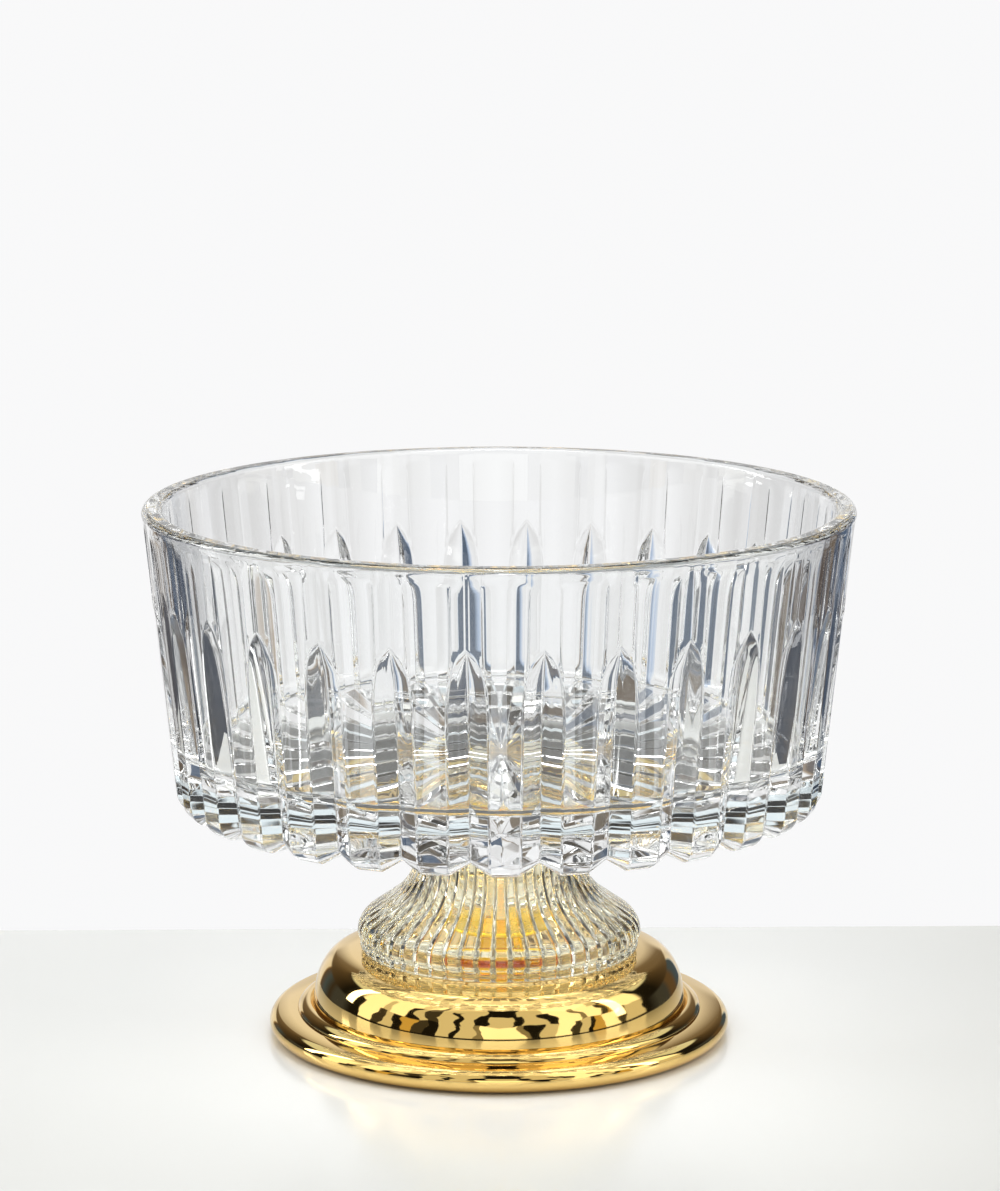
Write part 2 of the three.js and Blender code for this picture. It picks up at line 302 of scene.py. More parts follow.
class ShaderSheet:
    """A material or node group's nodes, with short ways to add and link them."""

    def __init__(self, tree: bpy.types.NodeTree) -> None:
        """Starts on an empty tree."""
        self.tree = tree
        tree.nodes.clear()

    def add(self, kind: str, **values: object) -> bpy.types.Node:
        """Adds a node.

        Args:
            kind: The node's type name.
            values: Properties to set on the node.

        Returns:
            The new node.
        """
        node = self.tree.nodes.new(kind)
        for key, value in values.items():
            setattr(node, key, value)
        return node

    def link(self, source: bpy.types.NodeSocket, target: bpy.types.NodeSocket) -> None:
        """Links two sockets."""
        self.tree.links.new(source, target)

    def mix(self, share: bpy.types.NodeSocket, first: Tone, second: Tone) -> bpy.types.NodeSocket:
        """Adds a mix of two colours.

        Args:
            share: The second colour's share.
            first: One colour, written down or from a socket.
            second: The other colour.

        Returns:
            The mixed colour.
        """
        node = self.add("ShaderNodeMix", data_type="RGBA")
        self.link(share, node.inputs[MIX_SHARE])
        for tone, target in ((first, node.inputs[MIX_FIRST]), (second, node.inputs[MIX_SECOND])):
            if isinstance(tone, bpy.types.NodeSocket):
                self.link(tone, target)
            else:
                target.default_value = (*tone, 1.0)
        return node.outputs[MIX_RESULT]

    def product(self, first: bpy.types.NodeSocket, second: bpy.types.NodeSocket) -> bpy.types.NodeSocket:
        """Adds the product of two values.

        Args:
            first: One value.
            second: The other value.

        Returns:
            The product.
        """
        node = self.add("ShaderNodeMath", operation="MULTIPLY")
        self.link(first, node.inputs[0])
        self.link(second, node.inputs[1])
        return node.outputs["Value"]

    def rise(self, source: bpy.types.NodeSocket, start: float, end: float) -> bpy.types.NodeSocket:
        """Adds a soft step from 0 at one value to 1 at another.

        Args:
            source: The value.
            start: Where the step starts.
            end: Where it ends.

        Returns:
            The step's output.
        """
        step = self.add("ShaderNodeMapRange", interpolation_type="SMOOTHSTEP")
        step.inputs["From Min"].default_value = start
        step.inputs["From Max"].default_value = end
        self.link(source, step.inputs["Value"])
        return step.outputs["Result"]

    def bearing(self, across: bpy.types.NodeSocket, ahead: bpy.types.NodeSocket) -> bpy.types.NodeSocket:
        """Adds the bearing of a direction.

        Args:
            across: The direction's share to the right.
            ahead: Its share straight ahead.

        Returns:
            The bearing: 0 at -180 degrees, a half straight ahead and 1 at 180 degrees.
        """
        angle = self.add("ShaderNodeMath", operation="ARCTAN2")
        spread = self.add("ShaderNodeMapRange")
        spread.inputs["From Min"].default_value = -math.pi
        spread.inputs["From Max"].default_value = math.pi
        self.link(across, angle.inputs[0])
        self.link(ahead, angle.inputs[1])
        self.link(angle.outputs["Value"], spread.inputs["Value"])
        return spread.outputs["Result"]

    def ramp(self, bearing: bpy.types.NodeSocket, stops: Stops, steps: Steps) -> bpy.types.NodeSocket:
        """Adds colours that change with a bearing.

        Args:
            bearing: The bearing.
            stops: Bearing in degrees and colour of each stop, from -180 degrees on.
            steps: How the colour runs from stop to stop.

        Returns:
            The colour.
        """
        node = self.add("ShaderNodeValToRGB")
        elements = node.color_ramp.elements
        node.color_ramp.interpolation = steps.value
        elements.remove(elements[1])
        elements[0].color = (*stops[0][1], 1.0)
        for degrees, colour in stops[1:]:
            elements.new((degrees + 180.0) / 360.0).color = (*colour, 1.0)
        self.link(bearing, node.inputs["Fac"])
        return node.outputs["Color"]


def new_group(name: str, inputs: dict[str, float], outputs: dict[str, str]) -> bpy.types.NodeTree:
    """An empty shader node group with named sockets.

    Args:
        name: Name of the group.
        inputs: Name and default of each float input.
        outputs: Name and socket type of each output.

    Returns:
        The new group.
    """
    group = bpy.data.node_groups.new(name, "ShaderNodeTree")
    group.interface.new_socket("Vector", in_out="INPUT", socket_type="NodeSocketVector")
    for key, value in inputs.items():
        socket = group.interface.new_socket(key, in_out="INPUT", socket_type="NodeSocketFloat")
        socket.default_value = value
    for key, kind in outputs.items():
        group.interface.new_socket(key, in_out="OUTPUT", socket_type=kind)
    return group


def surface_marks_group() -> bpy.types.NodeTree:
    """The shared effect of handling: soft smudges and fine wipe marks.

    Returns:
        A group that puts out a smudge mask, a fine grain and a height.
    """
    inputs = {"Smudge Scale": 18.0, "Grain Scale": 900.0}
    outputs = {"Smudge": "NodeSocketFloat", "Grain": "NodeSocketFloat", "Height": "NodeSocketFloat"}
    group = new_group("surface marks", inputs, outputs)
    sheet = ShaderSheet(group)
    source = sheet.add("NodeGroupInput")
    target = sheet.add("NodeGroupOutput")
    smudge = sheet.add("ShaderNodeTexNoise")
    smudge.inputs["Detail"].default_value = SMUDGE_DETAIL
    smudge.inputs["Roughness"].default_value = SMUDGE_ROUGHNESS
    grain = sheet.add("ShaderNodeTexNoise")
    grain.inputs["Detail"].default_value = GRAIN_DETAIL
    ramp = sheet.add("ShaderNodeMapRange")
    ramp.inputs["From Min"].default_value = SMUDGE_START
    ramp.inputs["From Max"].default_value = SMUDGE_END
    height = sheet.add("ShaderNodeMath", operation="MULTIPLY_ADD")
    height.inputs[1].default_value = GRAIN_HEIGHT
    for node, key in ((smudge, "Smudge Scale"), (grain, "Grain Scale")):
        sheet.link(source.outputs["Vector"], node.inputs["Vector"])
        sheet.link(source.outputs[key], node.inputs["Scale"])
    sheet.link(smudge.outputs["Fac"], ramp.inputs["Value"])
    sheet.link(grain.outputs["Fac"], height.inputs[0])
    sheet.link(smudge.outputs["Fac"], height.inputs[2])
    sheet.link(ramp.outputs["Result"], target.inputs["Smudge"])
    sheet.link(grain.outputs["Fac"], target.inputs["Grain"])
    sheet.link(height.outputs["Value"], target.inputs["Height"])
    return group


@dataclass(frozen=True)
class Finish:
    """A surface finish with the shared handling marks on it.

    The colour and roughness each run between two values, as the marks say.
    """

    name: str
    slot: Slot
    colour: Colour
    colour_marked: Colour
    roughness: float
    roughness_marked: float
    metallic: float = 0.0
    transmission: float = 0.0
    ior: float = 1.5
    sheen: float = 0.0
    smudge_scale: float = 18.0
    grain_scale: float = 900.0
    bump: float = 0.0
    bump_distance: float = 0.0002
    use_grain: bool = False

    def material(self, marks: bpy.types.NodeTree) -> bpy.types.Material:
        """Builds the finish's material.

        Args:
            marks: The shared group of handling marks.

        Returns:
            The new material.
        """
        material = bpy.data.materials.new(self.name)
        material.use_nodes = True
        sheet = ShaderSheet(material.node_tree)
        output = sheet.add("ShaderNodeOutputMaterial")
        shader = sheet.add("ShaderNodeBsdfPrincipled")
        shader.inputs["Metallic"].default_value = self.metallic
        shader.inputs["Transmission Weight"].default_value = self.transmission
        shader.inputs["IOR"].default_value = self.ior
        shader.inputs["Sheen Weight"].default_value = self.sheen
        place = sheet.add("ShaderNodeTexCoord")
        group = sheet.add("ShaderNodeGroup", node_tree=marks)
        group.inputs["Smudge Scale"].default_value = self.smudge_scale
        group.inputs["Grain Scale"].default_value = self.grain_scale
        mask = group.outputs["Grain" if self.use_grain else "Smudge"]
        colour = sheet.mix(mask, self.colour, self.colour_marked)
        rough = sheet.add("ShaderNodeMapRange")
        rough.inputs["To Min"].default_value = self.roughness
        rough.inputs["To Max"].default_value = self.roughness_marked
        sheet.link(place.outputs["Object"], group.inputs["Vector"])
        sheet.link(mask, rough.inputs["Value"])
        sheet.link(colour, shader.inputs["Base Color"])
        sheet.link(rough.outputs["Result"], shader.inputs["Roughness"])
        if self.bump > 0.0:
            bump = sheet.add("ShaderNodeBump")
            bump.inputs["Strength"].default_value = self.bump
            bump.inputs["Distance"].default_value = self.bump_distance
            sheet.link(group.outputs["Height"], bump.inputs["Height"])
            sheet.link(bump.outputs["Normal"], shader.inputs["Normal"])
        sheet.link(shader.outputs["BSDF"], output.inputs["Surface"])
        return material


CUT_CRYSTAL = Finish(
    name="cut crystal", slot=Slot.CUT_GLASS, colour=(0.985, 0.992, 0.995), colour_marked=(0.98, 0.99, 0.993),
    roughness=0.0, roughness_marked=0.006, transmission=1.0, ior=1.53, smudge_scale=14.0,
)
PRESSED_GLASS = Finish(
    name="pressed glass", slot=Slot.RIBBED_GLASS,
    colour=(0.985, 0.975, 0.85), colour_marked=(0.975, 0.965, 0.83), roughness=0.0,
    roughness_marked=0.01, transmission=1.0, ior=1.52, smudge_scale=20.0,
)
GOLD_PLATE = Finish(
    name="gold plate", slot=Slot.GOLD, colour=(0.86, 0.60, 0.22), colour_marked=(0.83, 0.57, 0.2),
    roughness=0.035, roughness_marked=0.075, metallic=1.0, smudge_scale=26.0, grain_scale=1400.0,
    bump=0.02, bump_distance=0.0001,
)
SATIN_GOLD = Finish(
    name="satin gold", slot=Slot.GOLD, colour=(1.0, 0.72, 0.04), colour_marked=(0.96, 0.64, 0.03),
    roughness=0.22, roughness_marked=0.36, metallic=1.0, smudge_scale=60.0, grain_scale=1400.0,
)
PALE_GOLD = Finish(
    name="pale gold", slot=Slot.GOLD, colour=(0.98, 0.9, 0.7), colour_marked=(0.94, 0.85, 0.62),
    roughness=0.12, roughness_marked=0.2, metallic=1.0, smudge_scale=60.0, grain_scale=1400.0,
)
ZINC_STEEL = Finish(
    name="zinc steel", slot=Slot.STEEL, colour=(0.62, 0.63, 0.65), colour_marked=(0.52, 0.53, 0.53),
    roughness=0.24, roughness_marked=0.4, metallic=1.0, smudge_scale=90.0, grain_scale=2400.0, bump=0.08,
)
CLEAR_SILICONE = Finish(
    name="clear silicone", slot=Slot.SILICONE, colour=(0.93, 0.95, 0.95), colour_marked=(0.88, 0.9, 0.9),
    roughness=0.3, roughness_marked=0.42, transmission=0.85, ior=1.41, smudge_scale=60.0,
)
DARK_FELT = Finish(
    name="dark felt", slot=Slot.FELT, colour=(0.012, 0.011, 0.01), colour_marked=(0.05, 0.046, 0.04),
    roughness=0.9, roughness_marked=1.0, sheen=0.4, smudge_scale=400.0, grain_scale=2600.0,
    bump=0.6, bump_distance=0.0006, use_grain=True,
)


class Dresser:
    """Gives pieces their finish, sets them under the body and hides the frame's nodes that they stand for."""

    def __init__(self) -> None:
        """Builds the shared marks."""
        self.marks = surface_marks_group()
        self.made: dict[str, bpy.types.Material] = {}

    def dress(self, obj: bpy.types.Object, finish: Finish, node: str) -> bpy.types.Object:
        """Finishes a piece that stands for a node of the frame.

        Args:
            obj: The piece.
            finish: Its finish.
            node: The node that it stands for.

        Returns:
            The same piece.
        """
        if finish.name not in self.made:
            self.made[finish.name] = finish.material(self.marks)
        obj.data.materials.append(self.made[finish.name])
        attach(obj, BODY)
        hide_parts(node)
        obj.visible_shadow = finish.transmission == 0.0
        LOG.info("%s: %d faces, %s", obj.name, len(obj.data.polygons), finish.name)
        return obj


# The bowl


@dataclass
class CutRow:
    """One row of the bowl's surface, from the middle of a lobe to the valley beside it.

    The base point and its normal lie in the plane through the axis and the lobe's middle. Depths count
    inwards from the base point along the normal, in millimetres. The mouth is half the mitre cut's width.
    """

    base: Point
    normal: Point
    roundness: float
    panel: float
    mitre: float
    mouth: float
    plain: bool = False


@dataclass
class CutBowl:
    """The drum of cut glass.

    Sizes are in millimetres, and heights count up from the bowl's seat. A guard is the distance of a row
    or a column from the place where a cut starts or ends.
    """

    dresser: Dresser
    node: str = "bowl"
    lobes: int = 30
    wall_flare: float = 10.2
    lip_thickness: float = 7.7
    lip_round: float = 2.4
    inner_flare: float = 10.0
    floor_thickness: float = 19.0
    floor_fillet: float = 6.0
    heel_round: float = 7.0
    lobe_drop: float = 1.5
    seat_radius: float = 32.0
    panel_top: float = 4.6
    panel_run_out: float = 2.6
    panel_depth: float = 0.55
    strip_half_width: float = 4.8
    strip_edge_slope: float = 0.42
    mitre_half_width: float = 7.2
    mitre_depth: float = 4.7
    mitre_hollow: float = 0.3
    arch_drop: float = 27.0
    arch_length: float = 26.0
    arch_sharpness: float = 6.2
    star_fill: float = 0.985
    edge_blend: float = 0.22
    edge_guard: float = 0.5
    valley_round: float = 0.14
    valley_width: float = 0.35
    no_cut: float = -0.4
    strip_fade: float = 0.9
    strip_fade_start: float = 0.3
    strip_blend: float = 0.4
    band_start: float = 0.6
    cut_guard: float = 0.02
    row_guard: float = 1.0
    arch_run_on: float = 1.5
    panel_rows: tuple[float, ...] = (0.3, 0.7, 1.2, 1.8, 2.6, 3.6, 5.0, 7.0, 10.0)
    arch_rows: tuple[float, ...] = (
        0.005, 0.02, 0.04, 0.07, 0.1, 0.14, 0.18, 0.23, 0.28, 0.34, 0.42, 0.52, 0.65, 0.82, 1.0,
    )
    star_radii: tuple[float, ...] = (
        105.0, 96.0, 86.0, 76.0, 70.0, 67.0, 62.0, 54.0, 46.0, 38.0, 32.0, 25.0, 18.0, 12.0, 7.0, 2.0,
    )
    valley_shares: tuple[float, ...] = (0.0, 0.04, 0.12)
    fillet_steps: int = 7
    inner_wall_steps: int = 3
    lip_steps: int = 5
    heel_steps: int = 10
    sharp_angle: float = 40.0
    seat_z: float = field(init=False)
    rim_radius: float = field(init=False)
    rim_z: float = field(init=False)

    def __post_init__(self) -> None:
        """Takes the outer size and the seat's height from the frame."""
        low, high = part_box(self.node)
        self.rim_radius = high.x / MM
        self.seat_z = low.z / MM + self.lobe_drop
        self.rim_z = high.z / MM - self.seat_z

    @property
    def half_pitch(self) -> float:
        """Half the angle of a lobe, in radians."""
        return math.pi / self.lobes

    @property
    def wall_foot(self) -> Point:
        """Where the straight wall meets the heel."""
        return (self.rim_radius - self.wall_flare, self.heel_round - self.lobe_drop)

    @property
    def mitre_slope(self) -> float:
        """Depth of a mitre cut's face for each millimetre across."""
        return self.mitre_depth / self.mitre_half_width

    @property
    def full_mouth(self) -> float:
        """Half the mitre cut's width where it is whole."""
        return (self.mitre_depth - self.panel_depth) / self.mitre_slope

    def plain_row(self, base: Point) -> CutRow:
        """A row of the round inside, the lip or the band under it."""
        return CutRow(base, (1.0, 0.0), 1.0, self.no_cut, self.no_cut, 0.0, plain=True)

    def inner_rows(self) -> list[CutRow]:
        """Rows of the floor's edge, the fillet, the inner wall and the lip.

        Returns:
            The rows from the floor to the outer edge of the lip.
        """
        inner_radius = self.rim_radius - self.lip_thickness
        foot_radius = inner_radius - self.inner_flare
        fillet_z = self.floor_thickness + self.floor_fillet
        lip_z = self.rim_z - self.lip_round
        fillet_centre = (foot_radius - self.floor_fillet, fillet_z)
        fillet = arc(fillet_centre, self.floor_fillet, -90, 0, self.fillet_steps)
        wall = between((foot_radius, fillet_z), (inner_radius, lip_z), self.inner_wall_steps)
        inner_centre = (inner_radius + self.lip_round, lip_z)
        outer_centre = (self.rim_radius - self.lip_round, lip_z)
        inner_lip = arc(inner_centre, self.lip_round, 180, 90, self.lip_steps)
        outer_lip = arc(outer_centre, self.lip_round, 90, 0, self.lip_steps)
        floor_edge = (fillet[0][0] - self.floor_fillet, self.floor_thickness)
        outline = [floor_edge, *fillet, *wall, *inner_lip, *outer_lip]
        return [self.plain_row(point) for point in outline]

    def wall_row(self, drop: float) -> CutRow:
        """A row of the outer wall.

        Args:
            drop: Distance of the row below the rim.

        Returns:
            The row with its panel and its mitre cut.
        """
        foot_radius, foot_z = self.wall_foot
        height = self.rim_z - drop
        slope = self.wall_flare / (self.rim_z - foot_z)
        run = (drop - self.panel_top) / self.panel_run_out
        panel = self.panel_depth * (1.0 - math.exp(-run)) if run > 0.0 else self.no_cut
        mouth = self.mouth_at(drop - self.arch_drop)
        past_strip = eased((mouth - self.strip_half_width) / self.strip_fade + self.strip_fade_start)
        mitre = mouth * self.mitre_slope + panel * past_strip if mouth > 0.0 else self.no_cut
        base = (foot_radius + (height - foot_z) * slope, height)
        return CutRow(base, (1.0, 0.0), 1.0, panel, mitre, mouth)

    def mouth_at(self, below_tip: float) -> float:
        """Half the width of the mitre cut's pointed arch.

        Args:
            below_tip: Distance below the arch's tip.

        Returns:
            Half the width in millimetres.
        """
        whole = 1.0 - math.exp(-self.arch_length / self.arch_sharpness)
        share = (1.0 - math.exp(-max(below_tip, 0.0) / self.arch_sharpness)) / whole
        return self.full_mouth * min(share, 1.0)

    def wall_rows(self) -> list[CutRow]:
        """Rows of the outer wall, set close where a panel or a cut starts.

        Returns:
            The rows from under the lip to the heel.
        """
        full_drop = self.rim_z - self.wall_foot[1]
        drops = [self.lip_round + self.band_start, self.panel_top - self.cut_guard]
        drops += [self.panel_top + step for step in self.panel_rows]
        drops += [self.arch_drop - self.row_guard, self.arch_drop - self.cut_guard]
        drops += [self.arch_drop + self.arch_length * share for share in self.arch_rows]
        drops += [self.arch_drop + self.arch_length + self.arch_run_on, full_drop - self.row_guard]
        return [self.wall_row(drop) for drop in drops]

    def heel_rows(self) -> list[CutRow]:
        """Rows round the heel.

        Returns:
            The rows from the wall to the underside.
        """
        foot_radius, foot_z = self.wall_foot
        rows = []
        for point in arc((0.0, 0.0), 1.0, 0.0, -90.0, self.heel_steps):
            radius = foot_radius - self.heel_round + self.heel_round * point[0]
            base = (radius, foot_z + self.heel_round * point[1])
            panel = self.panel_depth * point[0]
            mouth = (self.mitre_depth - panel) / self.mitre_slope
            rows.append(CutRow(base, point, point[0], panel, self.mitre_depth, mouth))
        return rows

    def star_rows(self) -> list[CutRow]:
        """Rows of the underside, where the mitre cuts run in to a star that meets in the middle.

        Returns:
            The rows from the heel to the middle.
        """
        heel_radius = self.wall_foot[0] - self.heel_round
        rows = []
        for radius in self.star_radii:
            share = max((radius - self.seat_radius) / (heel_radius - self.seat_radius), 0.0)
            meeting = self.star_fill * radius * math.tan(self.half_pitch) * self.mitre_slope
            mitre = min(self.mitre_depth, meeting)
            base = (radius, -self.lobe_drop * share)
            rows.append(CutRow(base, (0.0, -1.0), 0.0, 0.0, mitre, mitre / self.mitre_slope))
        return rows

    def depth(self, row: CutRow, across: float, half_width: float) -> float:
        """Depth of the glass under the row's base line.

        Args:
            row: The row.
            across: Distance from the valley, across the lobe.
            half_width: Distance from the valley to the middle of the lobe.

        Returns:
            The depth in millimetres.
        """
        from_valley = math.hypot(across, self.valley_round) - self.valley_round
        mitre = row.mitre - from_valley * self.mitre_slope
        if 0.0 < from_valley < row.mouth:
            share = 1.0 - from_valley / row.mouth
            hollow = share - share ** (1.0 + self.mitre_hollow * row.roundness)
            mitre -= hollow * row.mouth * self.mitre_slope
        flat = row.panel
        if row.roundness > 0.0:
            edge = self.sagitta(row, half_width - self.strip_half_width)
            flat = min(flat, edge + (across - self.strip_half_width) * self.strip_edge_slope)
        flat = smooth_max(self.sagitta(row, half_width - across), flat, self.edge_blend * self.strip_blend)
        return smooth_max(flat, mitre, self.edge_blend)

    def sagitta(self, row: CutRow, from_middle: float) -> float:
        """How far the round of a row falls back at a distance from the lobe's middle."""
        radius = row.base[0]
        return row.roundness * (radius - math.sqrt(max(radius * radius - from_middle * from_middle, 0.0)))

    def across_columns(self, row: CutRow, half_width: float) -> list[float]:
        """Distances of the columns from the valley, gathered where the edges of the cuts are.

        Args:
            row: The row.
            half_width: Distance from the valley to the middle of the lobe.

        Returns:
            The distances, from the middle of the lobe to the valley.
        """
        edge = self.strip_half_width + self.edge_guard
        if row.roundness == 0.0:
            outer = min(row.mouth, half_width * self.star_fill)
            inner = outer / 2.0
        else:
            inner = max(row.mouth, self.valley_width)
            outer = max(edge, row.mouth + 2.0 * self.edge_guard)
        low = min(self.edge_guard, inner / 3.0)
        middle = min(self.edge_guard, (outer - inner) / 3.0)
        high = min(self.edge_guard, (half_width - outer) / 3.0)
        columns = [inner * share for share in self.valley_shares]
        columns += [(inner - low) / 2, inner - low, inner - low / 2, inner]
        columns += [inner + middle / 2, inner + middle]
        columns += [outer - middle, outer - middle / 2, outer, outer + high / 2, outer + high]
        columns += [(outer + high + half_width) / 2, half_width]
        return columns[::-1]

    def place_row(self, row: CutRow) -> list[Vector]:
        """Places of a row's vertices, in the half sector whose middle faces the front.

        Args:
            row: The row.

        Returns:
            The places in metres, from the middle of the lobe to the valley.
        """
        tangent = math.tan(self.half_pitch)
        radius, height = row.base
        wide = radius * tangent
        at_valley = self.depth(row, 0.0, wide)
        half_width = (radius - row.normal[0] * at_valley) * tangent
        places = []
        for across in self.across_columns(row, half_width):
            depth = self.depth(row, across, half_width)
            if row.plain:
                angle = self.half_pitch * (half_width - across) / half_width
                outward = radius * math.cos(angle)
                sideways = radius * math.sin(angle)
                upward = height
            else:
                outward = radius - row.normal[0] * depth
                upward = height - row.normal[1] * depth
                sideways = half_width - across
            places.append(Vector((sideways, -outward, upward + self.seat_z)) * MM)
        return places

    def build(self) -> None:
        """Builds and dresses the bowl."""
        rows = self.inner_rows() + self.wall_rows() + self.heel_rows()[1:] + self.star_rows()
        obj = sector_ring("cut_bowl", [self.place_row(row) for row in rows], self.lobes, self.sharp_angle)
        self.dresser.dress(obj, CUT_CRYSTAL, self.node)


# The collar


@dataclass
class RibbedCollar:
    """The bell-shaped collar of ribbed glass.

    Sizes are in millimetres and angles in degrees. Heights count up from its foot.
    """

    dresser: Dresser
    node: str = "collar"
    ribs: int = 54
    rib_depth: float = 0.9
    tier_inset: float = 0.9
    tier_round: float = 1.9
    tier_end: float = 50.0
    belly_round: float = 2.4
    belly_start: float = -62.0
    shoulder_round: float = 8.5
    flare_angle: float = 55.0
    flare_length: float = 10.5
    neck_round: float = 20.7
    crown_height: float = 8.0
    crown_flare: float = 1.7
    wall: float = 7.0
    rib_shares: tuple[float, ...] = (0.0, 0.35, 0.6, 0.7, 0.78, 0.86, 0.93, 1.0)
    rib_crown: float = 0.14
    groove_start: float = 0.62
    groove_sharpness: float = 1.3
    tier_steps: int = 8
    belly_steps: int = 6
    shoulder_steps: int = 8
    inner_shoulder_steps: int = 4
    neck_steps: int = 12
    sharp_angle: float = 38.0
    radius: float = field(init=False)
    height: float = field(init=False)
    foot_z: float = field(init=False)

    def __post_init__(self) -> None:
        """Takes the outer size and the foot's height from the frame."""
        low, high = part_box(self.node)
        self.radius = high.y / MM
        self.height = (high.z - low.z) / MM
        self.foot_z = low.z / MM

    def bell(self) -> tuple[float, float, float]:
        """The bell's main places.

        Returns:
            Radius of the neck, and the heights of the belly and of the neck's hollow.
        """
        lean = math.radians(self.flare_angle)
        rounds = self.shoulder_round + self.neck_round
        neck = self.radius - rounds * (1.0 - math.cos(lean)) - self.flare_length * math.sin(lean)
        belly_z = 2.0 * self.tier_round + self.belly_round
        neck_z = belly_z + rounds * math.sin(lean) + self.flare_length * math.cos(lean)
        return neck, belly_z, neck_z

    def outer_outline(self) -> list[Point]:
        """The ridge line of a rib.

        Returns:
            The points from the bottom face to the top face.
        """
        neck, belly_z, neck_z = self.bell()
        shoulder = (self.radius - self.shoulder_round, belly_z)
        tier = (self.radius - self.tier_inset - self.tier_round, self.tier_round)
        belly = (self.radius - self.belly_round, belly_z)
        hollow = (neck + self.neck_round, neck_z)
        crown = (neck, self.height - self.crown_height)
        return [
            *arc(tier, self.tier_round, -90, self.tier_end, self.tier_steps),
            *arc(belly, self.belly_round, self.belly_start, 0, self.belly_steps),
            *arc(shoulder, self.shoulder_round, 0, self.flare_angle, self.shoulder_steps)[1:],
            *arc(hollow, self.neck_round, 180 + self.flare_angle, 180, self.neck_steps),
            crown,
            *between(crown, (neck + self.crown_flare, self.height), 2),
            (neck + self.crown_flare, self.height),
        ]

    def inner_outline(self) -> list[Point]:
        """The smooth inside of the bell.

        Returns:
            The points from the top face to the bottom face.
        """
        neck, belly_z, neck_z = self.bell()
        hollow = (neck + self.neck_round, neck_z)
        shoulder = (self.radius - self.shoulder_round, belly_z)
        shoulder_round = self.shoulder_round - self.wall
        return [
            (neck - self.wall, self.height),
            *arc(hollow, self.neck_round + self.wall, 180, 180 + self.flare_angle, self.neck_steps),
            *arc(shoulder, shoulder_round, self.flare_angle, 0, self.inner_shoulder_steps),
            (self.radius - self.wall, 0.0),
        ]

    def rib_fall(self, share: float) -> float:
        """How far a rib falls away at a share of the way from its ridge to the groove beside it."""
        groove = max(share - self.groove_start, 0.0) / (1.0 - self.groove_start)
        return self.rib_crown * share * share + (1.0 - self.rib_crown) * groove ** self.groove_sharpness

    def place(self, base: Point, normal: Point, share: float) -> Vector:
        """Place of one vertex of the half rib that faces the front.

        Args:
            base: Radius and height on the ridge line.
            normal: The ridge line's normal there, or zeros where there are no ribs.
            share: Share of the way from the ridge to the groove beside it.

        Returns:
            The place in metres.
        """
        depth = self.rib_depth * base[0] / self.radius * self.rib_fall(share)
        radius = base[0] - depth * normal[0]
        height = min(max(base[1] - depth * normal[1], 0.0), self.height)
        angle = math.pi / self.ribs * share
        return Vector((radius * math.sin(angle), -radius * math.cos(angle), height + self.foot_z)) * MM

    def build(self) -> None:
        """Builds and dresses the collar."""
        outer = self.outer_outline()
        inner = self.inner_outline()
        outline = [inner[-1], *outer, *inner]
        normals = [(0.0, 0.0), *normals_of(outer), *[(0.0, 0.0)] * len(inner)]
        places = [
            [self.place(base, normal, share) for share in self.rib_shares]
            for base, normal in zip(outline, normals)
        ]
        obj = sector_ring("ribbed_collar", places, self.ribs, self.sharp_angle)
        self.dresser.dress(obj, PRESSED_GLASS, self.node)


# The foot


